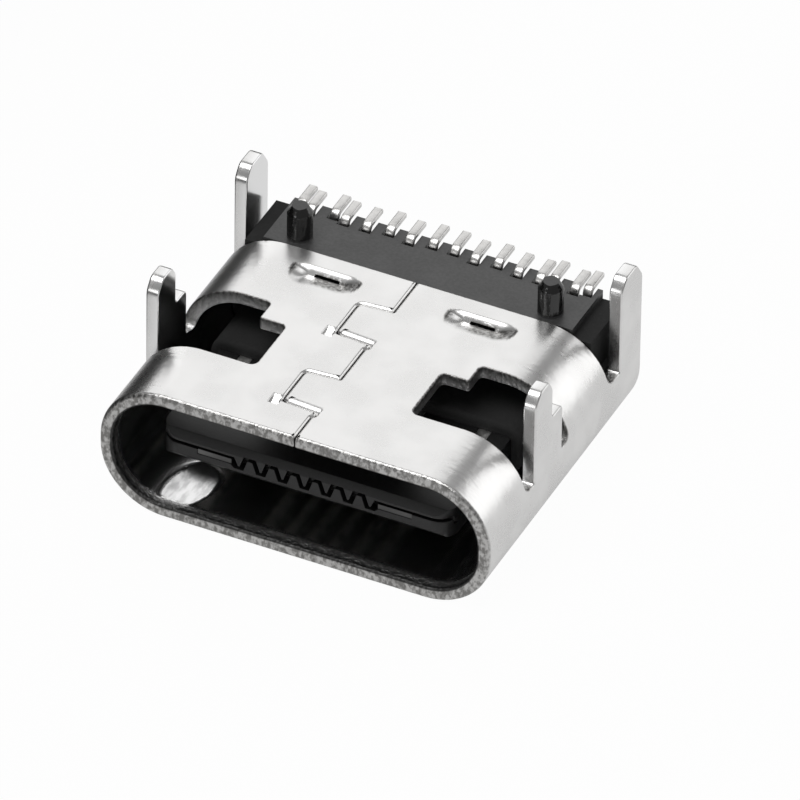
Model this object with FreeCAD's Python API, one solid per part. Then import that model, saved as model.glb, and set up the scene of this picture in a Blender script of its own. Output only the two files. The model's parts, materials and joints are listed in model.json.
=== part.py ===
import FreeCAD, Part
import math
import os

# A board socket for a full-round reversible plug: one folded metal shell, a moulded housing with two
# locating pegs, two moulded tongue halves with a plate between them, and sixteen spring-bronze contacts.
# It lies on the outside of its shell, with the side that meets the circuit board up.
#
# Sizes are in millimetres. While a piece is made, y is the distance behind the mouth; x is across the
# mouth, 0 on the middle; z is the height over the face that the shell lies on.

# Shell: the sheet and the tube that it is folded into
shell_width = 8.94
shell_height = 3.16
shell_length = 7.35
sheet = 0.30
shell_bend = 1.48
board_face_length = 5.85
rim_round = 0.09
rim_chamfer = 0.07
largest_blend = 0.45 * sheet

# Shell: the openings that the front legs are bent out of
window_front = 1.83
window_long_length = 1.48
window_short_length = 0.57
window_inner_x = 1.79
window_short_x = 2.41
window_corner = 0.14
relief_rise = 0.40

# Shell: legs that go through the board
leg_height = 4.30
front_leg_height = 4.20
front_leg_start = 2.16
front_leg_tip_width = 0.81
front_leg_shoulder_width = 0.51
rear_leg_width = 1.02
tip_front_run = 0.30
tip_front_drop = 0.36
tip_rear_run = 0.20
tip_rear_drop = 0.30
tip_blend = 0.12
rear_tip_run = 0.28
rear_tip_drop = 0.42

# Shell: the interlocked seam on the board side
seam_gap = 0.08
seam_tab_reach = 0.72
seam_tab_length = 1.12
seam_tab_starts = (1.06, 3.60)
seam_front_gap = 0.17
seam_tab_slope = 0.06
seam_tab_corner = 0.13
seam_relief = 0.22
seam_bulge = 0.09

# Shell: pressed and slit dimples that grip the plug
dimple_x = 1.79
dimple_y = 5.05
dimple_length = 1.46
dimple_width = 0.56
dimple_ramp = 0.42
dimple_side_ramp = 0.10
dimple_corner = 0.70
dimple_depth = 0.20
dimple_slit_length = 0.62
dimple_slit_width = 0.07

# Housing: the moulded block at the rear, with its collar round the root of the tongue
fit_gap = 0.02
ledge_side_gap = 0.18
ledge_step = 0.43
block_drop = 0.04
ledge_drop = 0.26
block_overhang = 0.03
back_wall_start = 5.60
collar_start = 3.40
collar_side_wall = 0.255
collar_thickness = 1.20
collar_corner = 0.40
collar_nose_round = 0.12
insert_cover = 0.78

# Housing: locating pegs
peg_diameter = 0.55
peg_inset = 0.67
peg_from_rear = 1.12
peg_top = 3.93
peg_tip_diameter = 0.34
peg_tip_height = 0.18
peg_clear = 0.22

# Tongue: two moulded halves with a plate between them
tongue_side_room = 0.825
tongue_thickness = 0.70
tongue_front = 0.50
tongue_corner = 0.45
nose_length = 0.26
nose_run = 0.14
nose_drop = 0.15
plate_thickness = 0.12
plate_end_reach = 0.10
plate_end_setback = 0.02
plate_end_from_x = 1.68
plate_end_to_x = 2.45
latch_notch_start = 1.55
latch_notch_length = 0.90
latch_notch_depth = 0.35
latch_notch_corner = 0.12
comb_gap = 0.08
comb_low = 0.14
comb_high = 0.13
comb_root = 0.19
comb_tip = 0.10

# Contacts: blades on the tongue, tails that rise behind it, and feet that lie on the board
contact_pitch = 0.50
contact_thickness = 0.12
blade_width = 0.25
power_blade_width = 0.30
tail_width = 0.20
blade_start = 1.20
jog_start = 4.20
jog_end = 5.90
foot_top = 3.26
foot_overhang = 0.41
foot_length = 0.66
row_stagger = 0.09
bend_radius = 0.07
toe_round = 0.04
slot_side_gap = 0.035
slot_front_gap = 0.07
slot_depth = 0.46
power_tail_x = 2.25
power_pair_step = 0.28
ground_tail_x = 3.05
ground_pair_step = 0.26

# Each contact on the right half: how many pitches from the middle its blade lies, and where its tail is
board_side_right = {
    "a7": (0.5, 0.5 * contact_pitch),
    "a8": (1.5, 2.5 * contact_pitch),
    "a9": (2.5, power_tail_x + power_pair_step),
    "a12": (5.5, ground_tail_x + ground_pair_step),
}
far_side_right = {
    "b6": (0.5, 1.5 * contact_pitch),
    "b5": (1.5, 3.5 * contact_pitch),
    "b4": (2.5, power_tail_x),
    "b1": (5.5, ground_tail_x),
}
left_twins = {
    "a7": "a6", "a8": "a5", "a9": "a4", "a12": "a1",
    "b6": "b7", "b5": "b8", "b4": "b9", "b1": "b12",
}

# Sizes that follow from those above
shell_middle = shell_height / 2
wall_x = shell_width / 2
relief_floor = shell_middle + relief_rise
window_step = window_front + window_long_length
window_rear = window_step + window_short_length
front_leg_tip_end = front_leg_start + front_leg_tip_width
front_leg_end = front_leg_tip_end + front_leg_shoulder_width
rear_leg_start = shell_length - rear_leg_width
inner_width = shell_width - 2 * sheet
block_top = shell_height - block_drop
ledge_top = shell_height - ledge_drop
ledge_width = inner_width - 2 * ledge_side_gap
block_width = ledge_width - 2 * ledge_step
block_rear = shell_length + block_overhang
insert_end = block_rear - insert_cover
foot_toe = shell_length + foot_overhang
peg_x = block_width / 2 - peg_inset
peg_y = shell_length - peg_from_rear
tongue_width = inner_width - 2 * tongue_side_room
collar_width = tongue_width + 2 * collar_side_wall
tongue_top = shell_middle + tongue_thickness / 2
tongue_bottom = shell_middle - tongue_thickness / 2
plate_top = shell_middle + plate_thickness / 2
plate_bottom = shell_middle - plate_thickness / 2
overall_length = foot_toe
beyond = 2 * shell_width
touching = 1e-6


def box(x, y, z):
    """A block between the two values of each pair."""
    corner = FreeCAD.Vector(x[0], y[0], z[0])
    return Part.makeBox(x[1] - x[0], y[1] - y[0], z[1] - z[0], corner)


def both_sides(shape):
    """The shape and its mirror image on the other side of the middle."""
    twin = shape.mirror(FreeCAD.Vector(0, 0, 0), FreeCAD.Vector(1, 0, 0))
    return [shape, twin]


def rounded_wire(corners, lift):
    """A closed outline through corners (u, v, radius), each point turned into space by lift."""
    starts, ends, turns = [], [], []
    for index, (u, v, radius) in enumerate(corners):
        before = corners[index - 1]
        after = corners[(index + 1) % len(corners)]
        here = FreeCAD.Vector(u, v, 0)
        back = FreeCAD.Vector(before[0], before[1], 0) - here
        ahead = FreeCAD.Vector(after[0], after[1], 0) - here
        if radius <= 0:
            starts.append(here)
            ends.append(here)
            turns.append(None)
            continue
        half = back.getAngle(ahead) / 2
        reach = min(radius / math.tan(half), back.Length / 2, ahead.Length / 2)
        real_radius = reach * math.tan(half)
        back.normalize()
        ahead.normalize()
        inward = back + ahead
        inward.normalize()
        centre = here + inward * (real_radius / math.sin(half))
        starts.append(here + back * reach)
        ends.append(here + ahead * reach)
        turns.append(centre - inward * real_radius)
    edges = []
    for index in range(len(corners)):
        if turns[index] is not None:
            edges.append(Part.Arc(lift(starts[index]), lift(turns[index]), lift(ends[index])).toShape())
        following = (index + 1) % len(corners)
        if ends[index].distanceToPoint(starts[following]) > touching:
            edges.append(Part.makeLine(lift(ends[index]), lift(starts[following])))
    return Part.Wire(edges)


def plan_prism(corners, z):
    """An outline in x and y, standing between two heights."""
    wire = rounded_wire(corners, lambda point: FreeCAD.Vector(point.x, point.y, z[0]))
    return Part.Face(wire).extrude(FreeCAD.Vector(0, 0, z[1] - z[0]))


def side_prism(corners, x):
    """An outline in y and z, reaching from one x to another."""
    wire = rounded_wire(corners, lambda point: FreeCAD.Vector(x[0], point.x, point.y))
    return Part.Face(wire).extrude(FreeCAD.Vector(x[1] - x[0], 0, 0))


def front_prism(corners, y):
    """An outline in x and z, reaching from one y to another."""
    wire = rounded_wire(corners, lambda point: FreeCAD.Vector(point.x, y[0], point.y))
    return Part.Face(wire).extrude(FreeCAD.Vector(0, y[1] - y[0], 0))


def tube_section(inset):
    """The corners of the tube's section, with the bend that rounds each, at a depth under its outside."""
    half_width = shell_width / 2 - inset
    low = inset
    high = shell_height - inset
    bend = shell_bend - inset
    return [(-half_width, low, bend), (half_width, low, bend),
            (half_width, high, bend), (-half_width, high, bend)]


def join(shapes):
    """One solid from shapes that meet."""
    whole = shapes[0].fuse(shapes[1:]) if len(shapes) > 1 else shapes[0]
    return whole.removeSplitter()


def mouth_edges(shape, width):
    """The edges round a bar of this width where it meets the plane of the mouth."""
    found = []
    for edge in shape.Edges:
        bounds = edge.BoundBox
        outermost = max(abs(bounds.XMin), abs(bounds.XMax))
        on_mouth = abs(bounds.YMin) < touching and abs(bounds.YMax) < touching
        if on_mouth and outermost <= width / 2 + touching:
            found.append(edge)
    return found


def shell_tube():
    """The folded tube with its rolled outer rim and its chamfered inner rim."""
    outside = front_prism(tube_section(0), (0, shell_length))
    outside = outside.makeFillet(min(rim_round, largest_blend), mouth_edges(outside, shell_width))
    hollow = front_prism(tube_section(sheet), (-sheet, shell_length + sheet))
    lead_in = min(rim_chamfer, largest_blend)
    mouth_wires = []
    for grow, y in ((lead_in, 0.0), (0.0, lead_in)):
        mouth_wires.append(rounded_wire(tube_section(sheet - grow),
                                        lambda point, y=y: FreeCAD.Vector(point.x, y, point.y)))
    funnel = Part.makeLoft(mouth_wires, True)
    return outside.cut([hollow, funnel])


def leg_openings():
    """What is cut from the tube for the legs: the windows, the open rear and the relief notches."""
    corner = window_corner
    window = plan_prism([(window_inner_x, window_front, corner), (beyond, window_front, 0),
                         (beyond, window_rear, 0), (window_short_x, window_rear, corner),
                         (window_short_x, window_step, 0), (window_inner_x, window_step, corner)],
                        (relief_floor, beyond))
    behind_face = box((-beyond, beyond), (board_face_length, beyond), (relief_floor, beyond))
    cuts = both_sides(window) + [behind_face]
    for start, end in ((front_leg_start, front_leg_end), (rear_leg_start, shell_length + sheet)):
        under_leg = box((window_inner_x, beyond), (start, end), (shell_middle, relief_floor + sheet))
        cuts += both_sides(under_leg)
    return cuts


def front_leg():
    """The right front leg: a shouldered strip that goes on straight up from the side of the tube."""
    shoulder = shell_height
    outline = [(front_leg_start, shell_middle, 0), (front_leg_end, shell_middle, 0),
               (front_leg_end, shoulder, tip_blend), (front_leg_tip_end, shoulder, tip_blend),
               (front_leg_tip_end, front_leg_height - tip_rear_drop, tip_blend),
               (front_leg_tip_end - tip_rear_run, front_leg_height, tip_blend),
               (front_leg_start + tip_front_run, front_leg_height, tip_blend),
               (front_leg_start, front_leg_height - tip_front_drop, tip_blend)]
    return side_prism(outline, (wall_x - sheet, wall_x))


def rear_leg():
    """The right rear leg, whose rear edge is the end of the shell."""
    outline = [(rear_leg_start, shell_middle, 0), (shell_length, shell_middle, 0),
               (shell_length, leg_height - rear_tip_drop, tip_blend),
               (shell_length - rear_tip_run, leg_height, tip_blend),
               (rear_leg_start + tip_front_run, leg_height, tip_blend),
               (rear_leg_start, leg_height - tip_front_drop, tip_blend)]
    return side_prism(outline, (wall_x - sheet, wall_x))


def seam_slot():
    """The gap that the interlocked seam leaves through the board-side wall."""
    depth = (shell_height - 2 * sheet, shell_height + sheet)
    half = seam_gap / 2
    slit = box((-half, half), (-sheet, board_face_length + sheet), depth)
    gap, tabs = [slit], []
    for start in seam_tab_starts:
        end = start + seam_tab_length
        left = -seam_tab_reach
        tabs.append(plan_prism([(left, start + seam_tab_slope, seam_tab_corner), (half, start, 0),
                                (half + seam_gap, start, 0), (half + seam_gap, end, 0),
                                (half, end, 0), (left, end - seam_tab_slope, seam_tab_corner)], depth))
        pocket_left = left - seam_gap
        pocket_start = start - seam_front_gap
        gap.append(plan_prism([(pocket_left, pocket_start + seam_tab_slope, seam_tab_corner),
                               (half, pocket_start, 0), (half, end + half, 0),
                               (pocket_left, end + half - seam_tab_slope, seam_tab_corner)], depth))
        relief_x = pocket_left - seam_relief
        relief_y = pocket_start + seam_tab_slope
        gap.append(plan_prism([(relief_x, relief_y - seam_gap, seam_gap / 2),
                               (left, relief_y, 0), (left, relief_y + seam_relief, 0),
                               (pocket_left - seam_gap, relief_y + seam_relief, seam_gap)], depth))
        bulge_at = FreeCAD.Vector(half, start - seam_front_gap / 2, depth[0])
        gap.append(Part.makeCylinder(seam_bulge, depth[1] - depth[0], bulge_at))
    widened = gap[0].fuse(gap[1:])
    return widened.cut(tabs)


def dimple_form(grow, top, bottom):
    """A pocket with ramped ends and sides on the right half of the board-side wall."""
    wires = []
    for z, shrink in ((top, 0.0), (bottom, 1.0)):
        half_length = dimple_length / 2 + grow - dimple_ramp * shrink
        half_width = dimple_width / 2 + grow - dimple_side_ramp * shrink
        corner = half_width * dimple_corner
        corners = [(dimple_x - half_length, dimple_y - half_width, corner),
                   (dimple_x + half_length, dimple_y - half_width, corner),
                   (dimple_x + half_length, dimple_y + half_width, corner),
                   (dimple_x - half_length, dimple_y + half_width, corner)]
        wires.append(rounded_wire(corners, lambda point, z=z: FreeCAD.Vector(point.x, point.y, z)))
    return Part.makeLoft(wires, True, True)


def dimple_bump():
    """The metal that a dimple pushes down inside the shell."""
    inner_face = shell_height - sheet
    return dimple_form(0, inner_face, inner_face - dimple_depth)


def dimple_pocket():
    """What a dimple leaves open: its hollow and the slit along its floor."""
    hollow = dimple_form(0, shell_height, shell_height - dimple_depth)
    slit = box((dimple_x - dimple_slit_length / 2, dimple_x + dimple_slit_length / 2),
               (dimple_y - dimple_slit_width / 2, dimple_y + dimple_slit_width / 2),
               (shell_height - sheet - 2 * dimple_depth, shell_height + sheet))
    return hollow.fuse(slit)


def make_shell():
    """The folded shell with its seam, windows, dimples and four legs."""
    tube = shell_tube().cut(leg_openings())
    legs = both_sides(front_leg()) + both_sides(rear_leg())
    metal = join([tube] + legs + both_sides(dimple_bump()))
    peg_foot = FreeCAD.Vector(peg_x, peg_y, relief_floor)
    peg_room = Part.makeCylinder(peg_diameter / 2 + peg_clear, beyond, peg_foot)
    cuts = both_sides(dimple_pocket()) + both_sides(peg_room) + [seam_slot()]
    return metal.cut(cuts).removeSplitter()


def contact(places, blade_outside, inward, width, setback):
    """A contact: a blade let into the tongue, a jog to its tail, a rise and a foot."""
    blade_x, tail_x = places
    low = min(blade_outside, blade_outside + inward * contact_thickness)
    high = low + contact_thickness
    toe = foot_toe - setback
    rise = toe - foot_length
    inner = bend_radius
    outer = bend_radius + contact_thickness
    tail = side_prism([(jog_end, low, 0), (rise + contact_thickness, low, outer),
                       (rise + contact_thickness, foot_top - contact_thickness, inner),
                       (toe, foot_top - contact_thickness, 0), (toe, foot_top, toe_round),
                       (rise, foot_top, outer), (rise, high, inner), (jog_end, high, 0)],
                      (tail_x - tail_width / 2, tail_x + tail_width / 2))
    blade = plan_prism([(blade_x - width / 2, blade_start, 0), (blade_x + width / 2, blade_start, 0),
                        (blade_x + width / 2, jog_start, 0), (tail_x + tail_width / 2, jog_end, 0),
                        (tail_x - tail_width / 2, jog_end, 0), (blade_x - width / 2, jog_start, 0)],
                       (low, high))
    return join([blade, tail])


def make_contacts():
    """All contacts by name: each one of the right half, and its twin on the left."""
    made = {}
    rows = ((board_side_right, tongue_top, -1, 0.0), (far_side_right, tongue_bottom, 1, row_stagger))
    for places, outside, inward, setback in rows:
        for name, (pitches, tail_x) in places.items():
            width = power_blade_width if tail_x >= power_tail_x else blade_width
            strip = contact((pitches * contact_pitch, tail_x), outside, inward, width, setback)
            made["contact_" + name], made["contact_" + left_twins[name]] = both_sides(strip)
    return made


def tongue_plan(front, end, z):
    """A slice of the tongue with its two rounded front corners."""
    half = tongue_width / 2
    return plan_prism([(-half, front, tongue_corner), (half, front, tongue_corner),
                       (half, end, 0), (-half, end, 0)], z)


def nose_profile():
    """The tongue's section along its length, with the slopes of its nose."""
    half = tongue_width / 2
    outline = [(tongue_front, tongue_bottom + nose_drop, 0), (tongue_front + nose_run, tongue_bottom, 0),
               (insert_end, tongue_bottom, 0), (insert_end, tongue_top, 0),
               (tongue_front + nose_run, tongue_top, 0), (tongue_front, tongue_top - nose_drop, 0)]
    return side_prism(outline, (-half, half))


def comb_line(shift):
    """The zigzag where the two halves interlock between the contacts, seen from the mouth."""
    low = shell_middle - comb_low + shift
    high = shell_middle + comb_high + shift
    root = comb_root - shift
    tip = comb_tip - shift
    points = []
    for count in range(-3, 4):
        middle = count * contact_pitch
        points += [(middle - root, high, 0), (middle - tip, low, 0), (middle + tip, low, 0),
                   (middle + root, high, 0)]
    return points


def plate_outline(z):
    """The plate between the tongue's halves, with its latch notches and its two front ends."""
    half = tongue_width / 2
    behind_nose = tongue_front + nose_length
    plate = plan_prism([(-half, behind_nose, tongue_corner / 2), (half, behind_nose, tongue_corner / 2),
                        (half, insert_end, 0), (-half, insert_end, 0)], z)
    notch_floor = half - latch_notch_depth
    notch_end = latch_notch_start + latch_notch_length
    notch = plan_prism([(notch_floor, latch_notch_start, latch_notch_corner),
                        (beyond, latch_notch_start, 0), (beyond, notch_end, 0),
                        (notch_floor, notch_end, latch_notch_corner)], z)
    end = box((plate_end_from_x, plate_end_to_x),
              (tongue_front + plate_end_setback, behind_nose + plate_end_reach), z)
    return join([plate.cut(both_sides(notch))] + both_sides(end))


def make_tongue(contacts):
    """The two tongue halves and the plate between them."""
    body = tongue_plan(tongue_front, insert_end, (tongue_bottom, tongue_top)).common(nose_profile())
    nose_span = (tongue_front, tongue_front + nose_length)
    nose = body.common(box((-beyond, beyond), nose_span, (-beyond, beyond)))
    rear_span = (nose_span[1], beyond)
    side = tongue_width
    upper_line = comb_line(comb_gap)
    upper_line[0] = (upper_line[0][0], plate_top + comb_gap, 0)
    upper_line[-1] = (upper_line[-1][0], plate_top + comb_gap, 0)
    above = front_prism([(-side, beyond, 0), (-side, plate_top + comb_gap, 0)] + upper_line
                        + [(side, plate_top + comb_gap, 0), (side, beyond, 0)], nose_span)
    lower_line = comb_line(0)
    lower_line[0] = (lower_line[0][0], plate_bottom, 0)
    lower_line[-1] = (lower_line[-1][0], plate_bottom, 0)
    left_step = [(-side, -side, 0), (-side, plate_top, 0), (-plate_end_to_x, plate_top, 0),
                 (-plate_end_to_x, plate_bottom, 0)]
    right_step = [(-x, z, 0) for x, z, radius in reversed(left_step)]
    below = front_prism(left_step + lower_line + right_step, nose_span)
    rear_upper = body.common(box((-beyond, beyond), rear_span, (plate_top, beyond)))
    rear_lower = body.common(box((-beyond, beyond), rear_span, (-beyond, plate_bottom)))
    blades = list(contacts.values())
    upper = join([rear_upper, nose.common(above)]).cut(blades).removeSplitter()
    lower = join([rear_lower, nose.common(below)]).cut(blades).removeSplitter()
    return upper, lower, plate_outline((plate_bottom, plate_top))


def lead_slots():
    """The slots at the block's rear edge that the tails rise in."""
    slots = []
    half = tail_width / 2 + slot_side_gap
    for places, setback in ((board_side_right, 0.0), (far_side_right, row_stagger)):
        rise = foot_toe - setback - foot_length
        for pitches, tail_x in places.values():
            slot = box((tail_x - half, tail_x + half), (rise - slot_front_gap, beyond),
                       (block_top - slot_depth, beyond))
            slots += both_sides(slot)
    return slots


def locating_peg():
    """The right peg: a round post with a coned tip."""
    post_top = peg_top - peg_tip_height
    base = FreeCAD.Vector(peg_x, peg_y, shell_middle)
    post = Part.makeCylinder(peg_diameter / 2, post_top - shell_middle, base)
    tip = Part.makeCone(peg_diameter / 2, peg_tip_diameter / 2, peg_tip_height,
                        FreeCAD.Vector(peg_x, peg_y, post_top))
    return join([post, tip])


def make_housing(contacts):
    """The moulded block, its collar and its pegs, cut out for all that it holds."""
    plug_end = front_prism(tube_section(sheet + fit_gap), (back_wall_start, block_rear))
    open_start = board_face_length + fit_gap
    roofed = plug_end.common(box((-beyond, beyond), (0, open_start), (-beyond, beyond)))
    open_rear = plug_end.common(box((-beyond, beyond), (0, beyond), (-beyond, relief_floor)))
    pieces = [roofed, open_rear]
    for width, top in ((ledge_width, ledge_top), (block_width, block_top)):
        pieces.append(box((-width / 2, width / 2), (open_start, block_rear), (shell_middle, top)))
    half = collar_width / 2
    low = shell_middle - collar_thickness / 2
    high = shell_middle + collar_thickness / 2
    collar = front_prism([(-half, low, collar_corner), (half, low, collar_corner),
                          (half, high, collar_corner), (-half, high, collar_corner)],
                         (collar_start, back_wall_start + sheet))
    front_edges = [edge for edge in collar.Edges if edge.BoundBox.YMax < collar_start + touching]
    collar = collar.makeFillet(collar_nose_round, front_edges)
    block = join(pieces + [collar] + both_sides(locating_peg()))
    pocket = box((-tongue_width / 2, tongue_width / 2), (collar_start - sheet, insert_end),
                 (tongue_bottom, tongue_top))
    cuts = [pocket] + lead_slots() + list(contacts.values())
    return block.cut(cuts).removeSplitter()


def build():
    """Every piece by the name of its file."""
    contacts = make_contacts()
    upper, lower, plate = make_tongue(contacts)
    pieces = {"shell": make_shell(), "housing": make_housing(contacts),
              "tongue_board_half": upper, "tongue_far_half": lower, "mid_plate": plate}
    pieces.update(contacts)
    return pieces


os.makedirs("parts", exist_ok=True)
for piece_name, piece in build().items():
    piece.translate(FreeCAD.Vector(0, -overall_length / 2, 0))
    print(piece_name, "solids", len(piece.Solids), "volume", round(piece.Volume, 4))
    piece.Solids[0].exportStep("parts/" + piece_name + ".step")
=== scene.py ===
"""The looks of a board socket for a reversible plug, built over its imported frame.

Lengths inside the classes are in millimetres, with y counted from the mouth, as a maker would
measure the part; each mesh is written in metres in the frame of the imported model. In the finishes,
greys are linear levels, depths are in millimetres, cells are counted to the millimetre, and a span
is the part of a noise that is spread from 0 to 1.
"""

import json
import logging
import math
from dataclasses import dataclass
from enum import Enum
from typing import Optional, Sequence, Union

import bpy
import numpy as np
from mathutils import Matrix, Vector, geometry

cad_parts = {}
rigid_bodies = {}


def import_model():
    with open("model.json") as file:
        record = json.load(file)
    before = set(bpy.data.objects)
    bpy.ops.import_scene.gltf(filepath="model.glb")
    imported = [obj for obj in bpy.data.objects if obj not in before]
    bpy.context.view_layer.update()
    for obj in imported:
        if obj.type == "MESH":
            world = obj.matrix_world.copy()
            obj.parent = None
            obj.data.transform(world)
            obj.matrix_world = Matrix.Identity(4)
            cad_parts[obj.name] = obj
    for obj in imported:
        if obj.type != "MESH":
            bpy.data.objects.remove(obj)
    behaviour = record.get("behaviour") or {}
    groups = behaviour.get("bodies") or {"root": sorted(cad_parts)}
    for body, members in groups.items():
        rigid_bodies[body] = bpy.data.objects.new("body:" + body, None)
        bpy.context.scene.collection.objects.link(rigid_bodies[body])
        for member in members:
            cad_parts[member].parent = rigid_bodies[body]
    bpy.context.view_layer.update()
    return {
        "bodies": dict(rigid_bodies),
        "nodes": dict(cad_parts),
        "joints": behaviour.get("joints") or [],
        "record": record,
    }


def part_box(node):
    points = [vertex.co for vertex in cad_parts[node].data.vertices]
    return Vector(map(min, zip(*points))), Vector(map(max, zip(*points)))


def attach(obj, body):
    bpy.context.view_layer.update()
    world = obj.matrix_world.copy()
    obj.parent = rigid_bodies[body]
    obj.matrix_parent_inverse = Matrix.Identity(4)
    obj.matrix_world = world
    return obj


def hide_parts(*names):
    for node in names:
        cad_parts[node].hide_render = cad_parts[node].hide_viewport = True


log = logging.getLogger("socket")

MM = 0.001
BLUE_LOSS = 1.6
Link = Union[bpy.types.NodeSocket, "Field", float, tuple]
Array = np.ndarray


class Slot(Enum):
    """The record's material slots."""

    SHELL = "shell_steel"
    HOUSING = "housing_plastic"
    TONGUE = "tongue_plastic"
    CONTACT = "contact_metal"
    PLATE = "plate_steel"


# Node helpers


class Field:
    """A socket of a node tree that takes part in arithmetic; each operation adds a Math node."""

    def __init__(self, nodes: "NodeMaker", socket: bpy.types.NodeSocket) -> None:
        """Keeps the tree's maker and the socket that carries the value."""
        self.nodes = nodes
        self.socket = socket

    def _math(self, operation: str, first: Link, second: Link) -> "Field":
        """One Math node with its two values."""
        return self.nodes.add("ShaderNodeMath", {"operation": operation}, {0: first, 1: second})

    def __add__(self, other: Link) -> "Field":
        """self + other"""
        return self._math("ADD", self, other)

    def __radd__(self, other: Link) -> "Field":
        """other + self"""
        return self._math("ADD", other, self)

    def __sub__(self, other: Link) -> "Field":
        """self - other"""
        return self._math("SUBTRACT", self, other)

    def __rsub__(self, other: Link) -> "Field":
        """other - self"""
        return self._math("SUBTRACT", other, self)

    def __mul__(self, other: Link) -> "Field":
        """self * other"""
        return self._math("MULTIPLY", self, other)

    def __rmul__(self, other: Link) -> "Field":
        """other * self"""
        return self._math("MULTIPLY", other, self)

    def __truediv__(self, other: Link) -> "Field":
        """self / other"""
        return self._math("DIVIDE", self, other)

    def __rtruediv__(self, other: Link) -> "Field":
        """other / self"""
        return self._math("DIVIDE", other, self)

    def ramp(self, low: float, high: float) -> "Field":
        """This value spread from low..high to 0..1, smoothly and held at both ends."""
        settings = {"interpolation_type": "SMOOTHSTEP"}
        return self.nodes.add("ShaderNodeMapRange", settings, {0: self, 1: low, 2: high})


class NodeMaker:
    """Adds nodes to a tree and joins them."""

    def __init__(self, tree: bpy.types.NodeTree) -> None:
        """Keeps the tree that nodes are added to."""
        self.tree = tree

    def node(self, kind: str, settings: Optional[dict] = None,
             sockets: Optional[dict] = None) -> bpy.types.Node:
        """Adds one node.

        Args:
            kind: The node's type name.
            settings: Properties to set before any socket.
            sockets: Input name or number, with the value or link that it takes.

        Returns:
            The new node.
        """
        made = self.tree.nodes.new(kind)
        for name, value in (settings or {}).items():
            setattr(made, name, value)
        for name, value in (sockets or {}).items():
            self.feed(made.inputs[name], value)
        return made

    def add(self, kind: str, settings: Optional[dict] = None, sockets: Optional[dict] = None,
            output: Union[int, str] = 0) -> Field:
        """Adds one node and returns one of its outputs as a field."""
        return Field(self, self.node(kind, settings, sockets).outputs[output])

    def feed(self, target: bpy.types.NodeSocket, value: Link) -> None:
        """Joins a field or socket to an input, or writes a plain value there.

        Args:
            target: The input.
            value: What it takes.
        """
        if isinstance(value, Field):
            self.tree.links.new(value.socket, target)
        elif isinstance(value, bpy.types.NodeSocket):
            self.tree.links.new(value, target)
        else:
            target.default_value = value

    def blend(self, amount: Link, first: Link, second: Link) -> Field:
        """A colour between two colours."""
        sockets = {"Factor": amount, 6: first, 7: second}
        return self.add("ShaderNodeMix", {"data_type": "RGBA"}, sockets, 2)

    def between(self, amount: Link, first: Link, second: Link) -> Field:
        """A value between two values."""
        return self.add("ShaderNodeMix", {"data_type": "FLOAT"}, {0: amount, 2: first, 3: second})

    def choose(self, amount: Link, first: Link, second: Link) -> Field:
        """A shader mixed from two shaders."""
        return self.add("ShaderNodeMixShader", {}, {0: amount, 1: first, 2: second})

    def place(self, cells: Sequence[float] = (1.0, 1.0, 1.0)) -> Field:
        """The object's own coordinates, counted in cells.

        Args:
            cells: How many cells a millimetre holds along each axis.

        Returns:
            The coordinates.
        """
        coords = self.add("ShaderNodeTexCoord", output="Object")
        factors = tuple(value / MM for value in cells)
        return self.add("ShaderNodeVectorMath", {"operation": "MULTIPLY"}, {0: coords, 1: factors})

    def axis(self, place: Link, number: int) -> Field:
        """One of the three coordinates of a place."""
        return self.add("ShaderNodeSeparateXYZ", {}, {0: place}, number)

    def noise(self, place: Link, scale: float = 1.0, detail: float = 3.0) -> Field:
        """Noise from 0 to 1 with this many lumps to a unit of place."""
        sockets = {"Vector": place, "Scale": scale, "Detail": detail}
        return self.add("ShaderNodeTexNoise", {}, sockets, "Fac")

    def bump(self, height: Link, depth: float, under: Optional[Link] = None) -> Field:
        """A normal bent by a height.

        Args:
            height: The height, from 0 to 1.
            depth: How many millimetres that height spans.
            under: The normal that is bent, or none for the surface's own.

        Returns:
            The bent normal.
        """
        sockets = {"Height": height, "Distance": depth * MM, "Strength": 1.0}
        if under is not None:
            sockets["Normal"] = under
        return self.add("ShaderNodeBump", {}, sockets, "Normal")

    def mask(self, name: str) -> Field:
        """A value that the piece's mesh carries under this name."""
        return self.add("ShaderNodeAttribute", {"attribute_name": name}, {}, "Fac")


def grey(level: float, warmth: float = 0.0) -> tuple:
    """A grey of this linear level, a little yellow where warmth is above 0."""
    return (level * (1 + warmth), level, level * (1 - BLUE_LOSS * warmth), 1.0)


def start_material(name: str) -> tuple:
    """Makes a material.

    Args:
        name: The material's name.

    Returns:
        The material, a maker for its nodes, and its Principled shader.
    """
    material = bpy.data.materials.new(name)
    material.use_nodes = True
    return material, NodeMaker(material.node_tree), material.node_tree.nodes["Principled BSDF"]


# Finishes


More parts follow.
